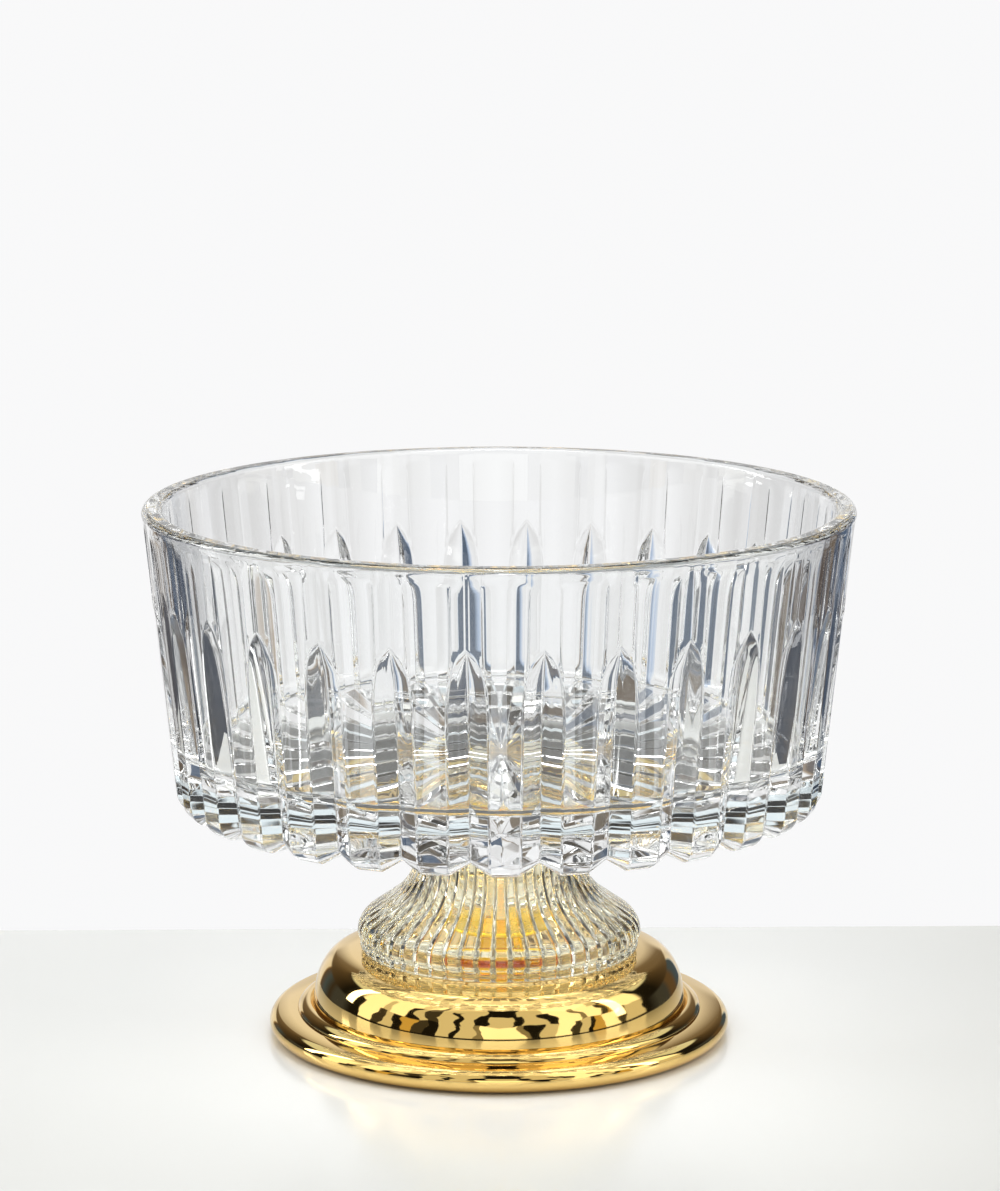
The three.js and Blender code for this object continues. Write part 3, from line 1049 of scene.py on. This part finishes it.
@dataclass
class GoldFoot:
    """The cast foot with its pad.

    Sizes are in millimetres and angles in degrees. Heights count up from the foot's lower edge.
    """

    dresser: Dresser
    node: str = "foot"
    pad_node: str = "foot_pad"
    dome_radius: float = 66.2
    dome_foot: float = 10.2
    seat: float = 51.4
    plateau: float = 56.4
    plateau_fall: float = 1.2
    shoulder_run: float = 1.0
    hollow_plateau: float = 55.0
    step_round: float = 4.4
    step_ledge: float = 1.2
    step_height: float = 11.2
    flange_width: float = 6.0
    flange_fall: float = 0.4
    bead_radius: float = 4.0
    bead_end: float = 78.0
    cast_wall: float = 3.0
    land_width: float = 9.0
    land_height: float = 5.0
    pad_border: float = 1.5
    pad_width: float = 5.8
    pad_groove: float = 1.0
    pad_room: float = 0.6
    pad_soft: float = 0.3
    pad_steps: int = 144
    spigot_hole: float = 6.3
    bead_steps: int = 24
    roll_steps: int = 12
    dome_steps: int = 32
    vault_steps: int = 12
    steps: int = 288
    height: float = field(init=False)
    edge_z: float = field(init=False)

    def __post_init__(self) -> None:
        """Takes the height from the frame."""
        low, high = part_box(self.node)
        self.height = (high.z - low.z) / MM
        self.edge_z = low.z / MM

    def outline(self) -> list[Point]:
        """The closed outline of the casting.

        Returns:
            The points from the land up over the outside and back through the hollow.
        """
        step_foot = self.dome_radius + self.step_ledge + self.step_round
        bead = step_foot + self.flange_width
        flange_z = 2.0 * self.bead_radius + self.flange_fall
        roll_z = self.step_height - flange_z
        roll_centre = (step_foot - self.step_round, flange_z)
        roll = quarter(roll_centre, self.step_round, roll_z, self.roll_steps)
        dome_width = self.dome_radius - self.plateau
        dome_height = self.height - self.plateau_fall - self.dome_foot
        dome = quarter((self.plateau, self.dome_foot), dome_width, dome_height, self.dome_steps)
        hollow = self.dome_radius - self.cast_wall
        ceiling = self.height - self.cast_wall
        vault_width, vault_height = hollow - self.hollow_plateau, ceiling - self.dome_foot
        vault_centre = (self.hollow_plateau, self.dome_foot)
        vault = quarter(vault_centre, vault_width, vault_height, self.vault_steps)
        land = bead - self.land_width
        pad_outer = bead - self.pad_border
        pad_inner = pad_outer - self.pad_width
        return [
            (land, 0.0),
            (pad_inner, 0.0),
            (pad_inner, self.pad_groove),
            (pad_outer, self.pad_groove),
            (pad_outer, 0.0),
            *arc((bead, self.bead_radius), self.bead_radius, -90, self.bead_end, self.bead_steps),
            *roll,
            *[point for point in dome if point[0] > self.plateau + self.shoulder_run],
            (self.seat, self.height),
            (self.spigot_hole, self.height),
            (self.spigot_hole, ceiling),
            *vault[::-1],
            (hollow, self.land_height + self.cast_wall),
            (land, self.land_height),
        ]

    def pad_outline(self) -> list[Point]:
        """The felt ring's outline.

        Returns:
            The points, with heights from the table.
        """
        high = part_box(self.pad_node)[1]
        outer = high.y / MM
        inner = outer - self.pad_width + self.pad_room
        top = high.z / MM
        soft = self.pad_soft
        return [
            *arc((inner + soft, soft), soft, 180, 270, 3),
            *arc((outer - soft, soft), soft, 270, 360, 3),
            (outer, top),
            (inner, top),
        ]

    def build(self) -> None:
        """Builds and dresses the foot and its pad."""
        outline = [(radius, height + self.edge_z) for radius, height in self.outline()]
        self.dresser.dress(turned("gold_foot", outline, self.steps), GOLD_PLATE, self.node)
        self.dresser.dress(turned("felt_ring", self.pad_outline(), self.pad_steps), DARK_FELT, self.pad_node)


# Gaskets and hardware


@dataclass
class Fastening:
    """What holds the stack together: gaskets, boss, stud plate, rod, clamp plate, washer and nut.

    Sizes are in millimetres and angles in degrees.
    """

    dresser: Dresser
    bore: float = 4.3
    lower_seal_bore: float = 43.8
    upper_seal_bore: float = 22.75
    seal_sharp_angle: float = 60.0
    thread_pitch: float = 1.25
    thread_depth: float = 0.6
    thread_flank: float = 0.45
    thread_crest: float = 0.08
    rod_steps: int = 48
    rod_sharp_angle: float = 20.0
    edge: float = 0.4
    clamp_round: float = 0.8
    boss_chamfer: float = 0.8
    boss_disc: float = 3.0
    boss_rim: float = 1.2
    boss_taper: float = 5.0
    boss_stem: float = 8.5
    spigot_radius: float = 6.0
    stud_boss_radius: float = 7.5
    stud_thickness: float = 3.5
    stud_blind: float = 1.5
    washer_split: float = 1.2
    washer_edge: float = 0.15
    nut_across_flats: float = 13.0
    nut_sides: int = 6
    nut_cuts: int = 5
    nut_rim: float = 1.2
    corner_angle: float = 40.0
    hardware_sharp_angle: float = 35.0
    steps: int = 96

    def span(self, node: str) -> tuple[float, float, float]:
        """Outer radius, bottom and top of a node, in millimetres."""
        low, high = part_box(node)
        return high.y / MM, low.z / MM, high.z / MM

    def gasket(self, node: str, name: str, inner: float) -> None:
        """Builds a silicone ring with softened edges.

        Args:
            node: The node that it stands for.
            name: Name of the piece.
            inner: Inner radius in millimetres.
        """
        outer, low, high = self.span(node)
        soft = (high - low) / 3.0
        outline = [
            *arc((inner + soft, low + soft), soft, 180, 270, 3),
            *arc((outer - soft, low + soft), soft, 270, 360, 3),
            *arc((outer - soft, high - soft), soft, 0, 90, 3),
            *arc((inner + soft, high - soft), soft, 90, 180, 3),
        ]
        self.dresser.dress(turned(name, outline, self.steps, self.seal_sharp_angle), CLEAR_SILICONE, node)

    def boss(self) -> None:
        """Builds the gold disc on its stem, which holds the rod in the middle."""
        outer, low, high = self.span("locating_boss")
        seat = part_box("foot")[1].z / MM
        cham = self.boss_chamfer
        outline = [
            (self.bore, low),
            (self.spigot_radius, low),
            (self.spigot_radius, seat),
            (self.boss_stem, seat),
            (self.boss_stem, high - self.boss_disc),
            (outer - self.boss_taper, high - self.boss_disc),
            (outer, high - self.boss_rim),
            *arc((outer - cham, high - cham), cham, 0, 90, 6),
            (self.bore, high),
        ]
        self.dresser.dress(turned("gold_disc", outline, self.steps), SATIN_GOLD, "locating_boss")

    def stud(self) -> None:
        """Builds the plate under the bowl with its blind threaded boss."""
        outer, low, high = self.span("stud_plate")
        face = high - self.stud_thickness
        outline = [
            (0.0, high - self.stud_blind),
            (self.bore, high - self.stud_blind),
            (self.bore, low),
            (self.stud_boss_radius - self.edge, low),
            (self.stud_boss_radius, low + self.edge),
            (self.stud_boss_radius, face),
            (outer - self.edge, face),
            (outer, face + self.edge),
            (outer, high - self.edge),
            (outer - self.edge, high),
            (0.0, high),
        ]
        self.dresser.dress(turned("stud_disc", outline, self.steps), GOLD_PLATE, "stud_plate")

    def rod(self) -> None:
        """Builds the tie rod, with its thread drawn as close-set rings."""
        outer, low, high = self.span("tie_rod")
        root = outer - self.thread_depth
        pitch, half_crest = self.thread_pitch, self.thread_crest
        outline = [(0.0, low), (root, low)]
        for turn in range(int((high - low - 2.0 * pitch) / pitch)):
            crest = low + pitch * (turn + 1.0)
            outline.append((root, crest - self.thread_flank * pitch))
            outline += [(outer, crest - half_crest), (outer, crest + half_crest)]
        outline += [(root, high - self.thread_depth), (root - self.thread_depth, high), (0.0, high)]
        obj = turned("threaded_rod", outline, self.rod_steps, self.rod_sharp_angle)
        self.dresser.dress(obj, PALE_GOLD, "tie_rod")

    def clamp(self) -> None:
        """Builds the steel plate under the dome."""
        outer, low, high = self.span("clamp_plate")
        outline = [
            (self.bore, low),
            *arc((outer - self.clamp_round, low + self.clamp_round), self.clamp_round, 270, 360, 4),
            (outer, high),
            (self.bore, high),
        ]
        self.dresser.dress(turned("clamp_disc", outline, self.steps), ZINC_STEEL, "clamp_plate")

    def soften(self, bm: bmesh.types.BMesh, beyond: float, width: float) -> None:
        """Bevels a piece's sharp edges.

        Args:
            bm: The piece, with its normals facing outwards.
            beyond: Radius inside which edges stay as they are.
            width: Width of the bevel.
        """
        limit = math.radians(self.corner_angle)
        corners = [
            edge for edge in bm.edges
            if edge.calc_face_angle(0.0) > limit and edge.verts[0].co.xy.length > beyond * MM - MERGE
        ]
        bmesh.ops.bevel(
            bm, geom=corners, offset=width * MM, affect="EDGES", segments=2, profile=0.5, material=-1,
        )

    def washer(self) -> None:
        """Builds the split spring washer by sweeping its section most of the way round."""
        outer, low, high = self.span("lock_washer")
        gap = math.asin(self.washer_split / (self.bore + outer))
        bm = bmesh.new()
        corners = [(self.bore, low), (outer, low), (outer, high), (self.bore, high)]
        section = chain(bm, corners, closed=True)
        face = bm.faces.new(section)
        bmesh.ops.rotate(bm, verts=section, cent=(0, 0, 0), matrix=Matrix.Rotation(math.pi + gap, 3, "Z"))
        bmesh.ops.spin(
            bm, geom=[face], cent=(0, 0, 0), axis=(0, 0, 1), angle=2.0 * (math.pi - gap), steps=self.steps,
        )
        bmesh.ops.recalc_face_normals(bm, faces=bm.faces)
        self.soften(bm, self.bore, self.washer_edge)
        obj = finish_mesh(bm, "spring_washer", self.hardware_sharp_angle)
        self.dresser.dress(obj, ZINC_STEEL, "lock_washer")

    def nut(self) -> None:
        """Builds the hexagon nut: a ring between hexagon and bore, drawn up and softened at its edges."""
        _, low, high = self.span("hex_nut")
        corner = self.nut_across_flats / math.sqrt(3.0)
        bm = bmesh.new()
        bmesh.ops.create_circle(bm, segments=self.nut_sides, radius=corner * MM)
        bmesh.ops.subdivide_edges(bm, edges=bm.edges, cuts=self.nut_cuts)
        round_steps = self.nut_sides * (self.nut_cuts + 1)
        bmesh.ops.create_circle(bm, segments=round_steps, radius=self.bore * MM)
        bmesh.ops.bridge_loops(bm, edges=bm.edges)
        bmesh.ops.translate(bm, verts=bm.verts, vec=(0.0, 0.0, low * MM))
        grown = bmesh.ops.extrude_face_region(bm, geom=list(bm.faces), use_keep_orig=True)
        top = [item for item in grown["geom"] if isinstance(item, bmesh.types.BMVert)]
        bmesh.ops.translate(bm, verts=top, vec=(0.0, 0.0, (high - low) * MM))
        bmesh.ops.rotate(bm, verts=bm.verts, cent=(0, 0, 0), matrix=Matrix.Rotation(math.pi / 2, 3, "Z"))
        bmesh.ops.recalc_face_normals(bm, faces=bm.faces)
        self.soften(bm, self.nut_rim * self.bore, self.edge)
        obj = finish_mesh(bm, "hexagon_nut", self.hardware_sharp_angle)
        self.dresser.dress(obj, ZINC_STEEL, "hex_nut")

    def build(self) -> None:
        """Builds and dresses every piece of the fastening."""
        self.gasket("lower_gasket", "lower_seal", self.lower_seal_bore)
        self.gasket("upper_gasket", "upper_seal", self.upper_seal_bore)
        self.boss()
        self.stud()
        self.rod()
        self.clamp()
        self.washer()
        self.nut()


# The studio


@dataclass(frozen=True)
class Softbox:
    """A soft lamp, aimed at a point on the bowl's axis."""

    name: str
    place: tuple[float, float, float]
    size: tuple[float, float]
    power: float
    aim_height: float = 0.1
    spread: float = 180.0
    through_glass: bool = True

    def build(self) -> None:
        """Adds the lamp, out of the camera's sight."""
        data = bpy.data.lights.new(self.name, "AREA")
        data.shape = "RECTANGLE"
        data.size, data.size_y = self.size
        data.energy = self.power
        data.spread = math.radians(self.spread)
        lamp = bpy.data.objects.new(self.name, data)
        lamp.location = self.place
        aim = Vector((0.0, 0.0, self.aim_height)) - Vector(self.place)
        lamp.rotation_euler = aim.to_track_quat("-Z", "Y").to_euler()
        lamp.visible_camera = False
        lamp.visible_transmission = self.through_glass
        bpy.context.scene.collection.objects.link(lamp)


@dataclass(frozen=True)
class FrontTier:
    """One tier of the room in front of the bowl.

    Attributes:
        low: Height of the directions where it starts.
        bars: Bearing from the front in degrees, left negative, where each upright starts, with its colour.
    """

    low: float
    bars: tuple[tuple[float, Colour], ...]


PALE, SOFT, MID = (1.6, 1.62, 1.5), (0.8, 0.79, 0.7), (0.3, 0.28, 0.22)
DUSK, INK, AMBER = (0.06, 0.055, 0.045), (0.012, 0.011, 0.01), (0.7, 0.5, 0.16)
FRONT_TIERS = (
    FrontTier(0.0, (
        (-180.0, INK), (-100.0, PALE), (-86.0, DUSK), (-80.0, SOFT), (-72.0, INK), (-66.0, AMBER),
        (-58.0, DUSK), (-50.0, INK), (-40.0, SOFT), (-32.0, INK), (-27.0, SOFT), (-18.0, MID),
        (-14.0, PALE), (14.0, MID), (18.0, INK), (24.0, SOFT), (34.0, PALE), (44.0, DUSK), (50.0, SOFT),
        (58.0, INK), (63.0, AMBER), (70.0, PALE), (80.0, DUSK), (84.0, SOFT), (100.0, INK),
    )),
    FrontTier(0.3, (
        (-180.0, INK), (-104.0, PALE), (-84.0, SOFT), (-76.0, PALE), (-64.0, INK), (-58.0, SOFT),
        (-50.0, DUSK), (-40.0, SOFT), (-30.0, INK), (-26.0, SOFT), (-17.0, INK), (-11.0, SOFT), (9.0, INK),
        (16.0, SOFT), (28.0, INK), (34.0, PALE), (52.0, MID), (56.0, PALE), (70.0, DUSK), (74.0, AMBER),
        (82.0, PALE), (104.0, INK),
    )),
    FrontTier(0.62, (
        (-180.0, INK), (-108.0, SOFT), (-90.0, PALE), (-60.0, SOFT), (-52.0, PALE), (-44.0, DUSK),
        (-38.0, SOFT), (-16.0, INK), (12.0, SOFT), (30.0, PALE), (66.0, SOFT), (74.0, INK), (78.0, SOFT),
        (106.0, INK),
    )),
)


@dataclass
class Studio:
    """Camera, table, surroundings and lamps.

    Sizes are in metres. A rise or a reach is where a soft step starts and ends: on the table in metres from
    the axis, in the surroundings as a direction's share upwards or straight back.
    """

    camera_distance: float = 1.5301
    camera_height: float = 0.4583
    camera_pitch: float = 11.116
    camera_turn: float = -1.0
    lens: float = 134.3
    shift: float = 0.0008
    table_edge: float = 0.134
    table_width: float = 1.5
    table_depth: float = 0.75
    table_colour: Colour = (0.86, 0.86, 0.865)
    table_roughness: float = 0.16
    # painted shade: the table's colour near the axis, seen only through glass
    shade_colour: Colour = (0.1, 0.1, 0.105)
    shade_reach: tuple[float, float] = (0.19, 0.15)
    roof_colour: Colour = (0.02, 0.02, 0.022)
    skylight_colour: Colour = (0.82, 0.92, 0.96)
    backdrop_colour: Colour = (0.945, 0.945, 0.95)
    upper_rise: tuple[float, float] = (0.17, 0.23)
    roof_rise: tuple[float, float] = (0.45, 0.6)
    skylight_low: tuple[float, float] = (0.52, 0.56)
    skylight_high: tuple[float, float] = (0.85, 0.81)
    skylight_back: tuple[float, float] = (0.24, 0.32)
    front_rise: tuple[float, float] = (0.0, 0.02)
    front_reach: tuple[float, float] = (0.24, 0.16)
    veil_reach: tuple[float, float] = (0.05, -0.15)
    tier_blend: float = 0.02
    warp_scale: float = 3.2
    warp_detail: float = 1.5
    warp_span: tuple[float, float, float] = (0.34, 0.34, 0.3)
    bounces: int = 28
    mirror_bounces: int = 10

    def add_camera(self) -> None:
        """Adds the camera at the photograph's viewing angle."""
        data = bpy.data.cameras.new("camera")
        data.lens = self.lens
        data.shift_x = self.shift
        data.clip_end = 100.0
        camera = bpy.data.objects.new("camera", data)
        turn = math.radians(self.camera_turn)
        camera.location = (
            self.camera_distance * math.sin(turn), -self.camera_distance * math.cos(turn), self.camera_height,
        )
        camera.rotation_euler = (math.radians(90.0 - self.camera_pitch), 0.0, turn)
        bpy.context.scene.collection.objects.link(camera)
        bpy.context.scene.camera = camera

    def add_table(self) -> None:
        """Adds the pale glossy table top, which ends behind the bowl and has painted shade round the axis
        where glass shows it.
        """
        bm = bmesh.new()
        bmesh.ops.create_grid(bm, x_segments=1, y_segments=1, size=0.5)
        bmesh.ops.scale(bm, verts=bm.verts, vec=(self.table_width, self.table_depth, 1.0))
        middle = self.table_edge - self.table_depth / 2
        bmesh.ops.translate(bm, verts=bm.verts, vec=(0.0, middle, 0.0))
        table = finish_mesh(bm, "table", 30.0)
        material = bpy.data.materials.new("table top")
        material.use_nodes = True
        sheet = ShaderSheet(material.node_tree)
        output = sheet.add("ShaderNodeOutputMaterial")
        shader = sheet.add("ShaderNodeBsdfPrincipled")
        shader.inputs["Roughness"].default_value = self.table_roughness
        place = sheet.add("ShaderNodeTexCoord")
        reach = sheet.add("ShaderNodeVectorMath", operation="LENGTH")
        rays = sheet.add("ShaderNodeLightPath")
        # painted shade: within the reach of the axis the table darkens, but only for rays that come through
        # glass
        near = sheet.rise(reach.outputs["Value"], *self.shade_reach)
        shade = sheet.product(near, rays.outputs[Ray.TRANSMISSION.value])
        colour = sheet.mix(shade, self.table_colour, self.shade_colour)
        sheet.link(place.outputs["Object"], reach.inputs[0])
        sheet.link(colour, shader.inputs["Base Color"])
        sheet.link(shader.outputs["BSDF"], output.inputs["Surface"])
        table.data.materials.append(material)

    def add_world(self) -> None:
        """Adds the surroundings: white behind the bowl, and a dim room with pale panels round it.

        The camera sees the plain backdrop, and so does glass that looks towards the front.
        """
        world = bpy.data.worlds.new("studio")
        bpy.context.scene.world = world
        world.use_nodes = True
        sheet = ShaderSheet(world.node_tree)
        output = sheet.add("ShaderNodeOutputWorld")
        background = sheet.add("ShaderNodeBackground")
        rays = sheet.add("ShaderNodeLightPath")
        place = sheet.add("ShaderNodeTexCoord")
        axes = sheet.add("ShaderNodeSeparateXYZ")
        sheet.link(place.outputs["Generated"], axes.inputs["Vector"])
        across, back, height = (axes.outputs[key] for key in "XYZ")
        bearing = sheet.bearing(across, back)
        room = sheet.ramp(bearing, self.room_stops(), Steps.SOFT)
        upper = sheet.ramp(bearing, self.upper_stops(), Steps.SOFT)
        tone = sheet.mix(sheet.rise(height, *self.upper_rise), room, upper)
        tone = sheet.mix(sheet.rise(height, *self.roof_rise), tone, self.roof_colour)
        tone = sheet.mix(self.skylight(sheet, back, height), tone, self.skylight_colour)
        front = sheet.product(sheet.rise(height, *self.front_rise), sheet.rise(back, *self.front_reach))
        tone = sheet.mix(front, tone, self.front_room(sheet, self.warped(sheet, place.outputs["Generated"])))
        veil = sheet.product(sheet.rise(back, *self.veil_reach), rays.outputs[Ray.TRANSMISSION.value])
        tone = sheet.mix(veil, tone, self.backdrop_colour)
        tone = sheet.mix(rays.outputs[Ray.CAMERA.value], tone, self.backdrop_colour)
        sheet.link(tone, background.inputs["Color"])
        sheet.link(background.outputs["Background"], output.inputs["Surface"])

    def skylight(
        self, sheet: ShaderSheet, back: bpy.types.NodeSocket, height: bpy.types.NodeSocket,
    ) -> bpy.types.NodeSocket:
        """Adds the mask of the pale panel high behind the bowl, which lights the heel from within.

        Args:
            sheet: The tree that gets the panel.
            back: A direction's share straight back.
            height: Its share upwards.

        Returns:
            The mask: 1 on the panel.
        """
        band = sheet.product(sheet.rise(height, *self.skylight_low), sheet.rise(height, *self.skylight_high))
        return sheet.product(band, sheet.rise(back, *self.skylight_back))

    def warped(self, sheet: ShaderSheet, direction: bpy.types.NodeSocket) -> bpy.types.Node:
        """Adds uneven edges to what stands in front of the bowl.

        Args:
            sheet: The tree that gets the warp.
            direction: The direction looked in.

        Returns:
            A node with the warped direction's X, Y and Z.
        """
        noise = sheet.add("ShaderNodeTexNoise")
        noise.inputs["Scale"].default_value = self.warp_scale
        noise.inputs["Detail"].default_value = self.warp_detail
        centred = sheet.add("ShaderNodeVectorMath", operation="MULTIPLY_ADD")
        centred.inputs[1].default_value = self.warp_span
        centred.inputs[2].default_value = [-0.5 * value for value in self.warp_span]
        moved = sheet.add("ShaderNodeVectorMath", operation="ADD")
        axes = sheet.add("ShaderNodeSeparateXYZ")
        sheet.link(direction, noise.inputs["Vector"])
        sheet.link(noise.outputs["Color"], centred.inputs[0])
        sheet.link(direction, moved.inputs[0])
        sheet.link(centred.outputs["Vector"], moved.inputs[1])
        sheet.link(moved.outputs["Vector"], axes.inputs["Vector"])
        return axes

    def front_room(self, sheet: ShaderSheet, axes: bpy.types.Node) -> bpy.types.NodeSocket:
        """Adds the room in front of the bowl, which the gold mirrors: tiers of pale and dark uprights.

        Args:
            sheet: The tree that gets the room.
            axes: The node that gives a direction's X, Y and Z.

        Returns:
            The room's colour.
        """
        facing = sheet.add("ShaderNodeMath", operation="MULTIPLY")
        facing.inputs[1].default_value = -1.0
        sheet.link(axes.outputs["Y"], facing.inputs[0])
        bearing = sheet.bearing(axes.outputs["X"], facing.outputs["Value"])
        tone = sheet.ramp(bearing, FRONT_TIERS[0].bars, Steps.HARD)
        for tier in FRONT_TIERS[1:]:
            above = sheet.rise(axes.outputs["Z"], tier.low, tier.low + self.tier_blend)
            tone = sheet.mix(above, tone, sheet.ramp(bearing, tier.bars, Steps.HARD))
        return tone

    def room_stops(self) -> Stops:
        """Colours round the horizon.

        Returns:
            Bearing in degrees from straight behind the bowl, with its colour.
        """
        white = self.backdrop_colour
        grey, silver, mist = (0.76, 0.755, 0.75), (0.88, 0.875, 0.87), (0.9, 0.905, 0.91)
        blue, tan = (0.34, 0.46, 0.66), (0.66, 0.5, 0.34)
        slate, steel, brown = (0.065, 0.1, 0.16), (0.055, 0.064, 0.085), (0.12, 0.085, 0.055)
        dusk, dim = (0.045, 0.036, 0.026), (0.012, 0.011, 0.01)
        return (
            (-180.0, dim), (-74.0, dim), (-66.0, steel), (-54.0, steel), (-48.0, dusk), (-38.0, slate),
            (-28.4, brown), (-27.8, tan), (-27.2, silver), (-19.0, white), (-14.0, grey), (-9.0, white),
            (-4.0, grey), (1.0, white), (6.0, grey), (11.0, white), (16.0, grey), (20.6, mist),
            (21.2, blue), (21.8, slate), (31.0, slate), (37.0, brown), (45.0, brown), (51.0, steel),
            (63.0, steel), (74.0, dim), (180.0, dim),
        )

    def upper_stops(self) -> Stops:
        """Colours above the horizon, where the white card behind the bowl is narrow.

        Returns:
            Bearing in degrees from straight behind the bowl, with its colour.
        """
        white = self.backdrop_colour
        warm, brown, dim = (0.2, 0.16, 0.115), (0.1, 0.075, 0.05), (0.012, 0.011, 0.01)
        return (
            (-180.0, dim), (-60.0, dim), (-30.0, brown), (-10.0, warm), (-6.0, white),
            (5.0, white), (10.0, warm), (30.0, brown), (60.0, dim), (180.0, dim),
        )

    def add_lamps(self) -> None:
        """Adds the soft lamps."""
        lamps = (
            Softbox("overhead softbox", (0.0, 0.25, 1.5), (0.6, 0.45), 4.4),
            Softbox("left softbox", (-1.3, 0.4, 0.75), (0.2, 1.1), 3.8),
            Softbox(
                "glow in the collar", (0.0, 0.009, 0.066), (0.034, 0.03), 0.012, aim_height=STRAIGHT_DOWN,
                spread=60.0, through_glass=False,
            ),
            Softbox(
                "fill under the bowl", (0.0, -0.065, 0.0835), (0.17, 0.09), 0.012, aim_height=STRAIGHT_DOWN,
            ),
            Softbox("right softbox", (1.3, -0.25, 0.75), (0.2, 1.1), 2.4),
        )
        for lamp in lamps:
            lamp.build()

    def build(self) -> None:
        """Builds the whole studio and sets how light is traced through thick glass."""
        self.add_camera()
        self.add_table()
        self.add_world()
        self.add_lamps()
        scene = bpy.context.scene
        scene.view_settings.view_transform = "Standard"
        scene.cycles.max_bounces = self.bounces
        scene.cycles.transmission_bounces = self.bounces
        scene.cycles.glossy_bounces = self.mirror_bounces


def main() -> None:
    """Builds the studio and every piece of the bowl."""
    logging.basicConfig(level=logging.INFO, format="%(message)s")
    dresser = Dresser()
    Studio().build()
    for assembly in (CutBowl, RibbedCollar, GoldFoot, Fastening):
        assembly(dresser).build()


if __name__ == "__main__":
    main()
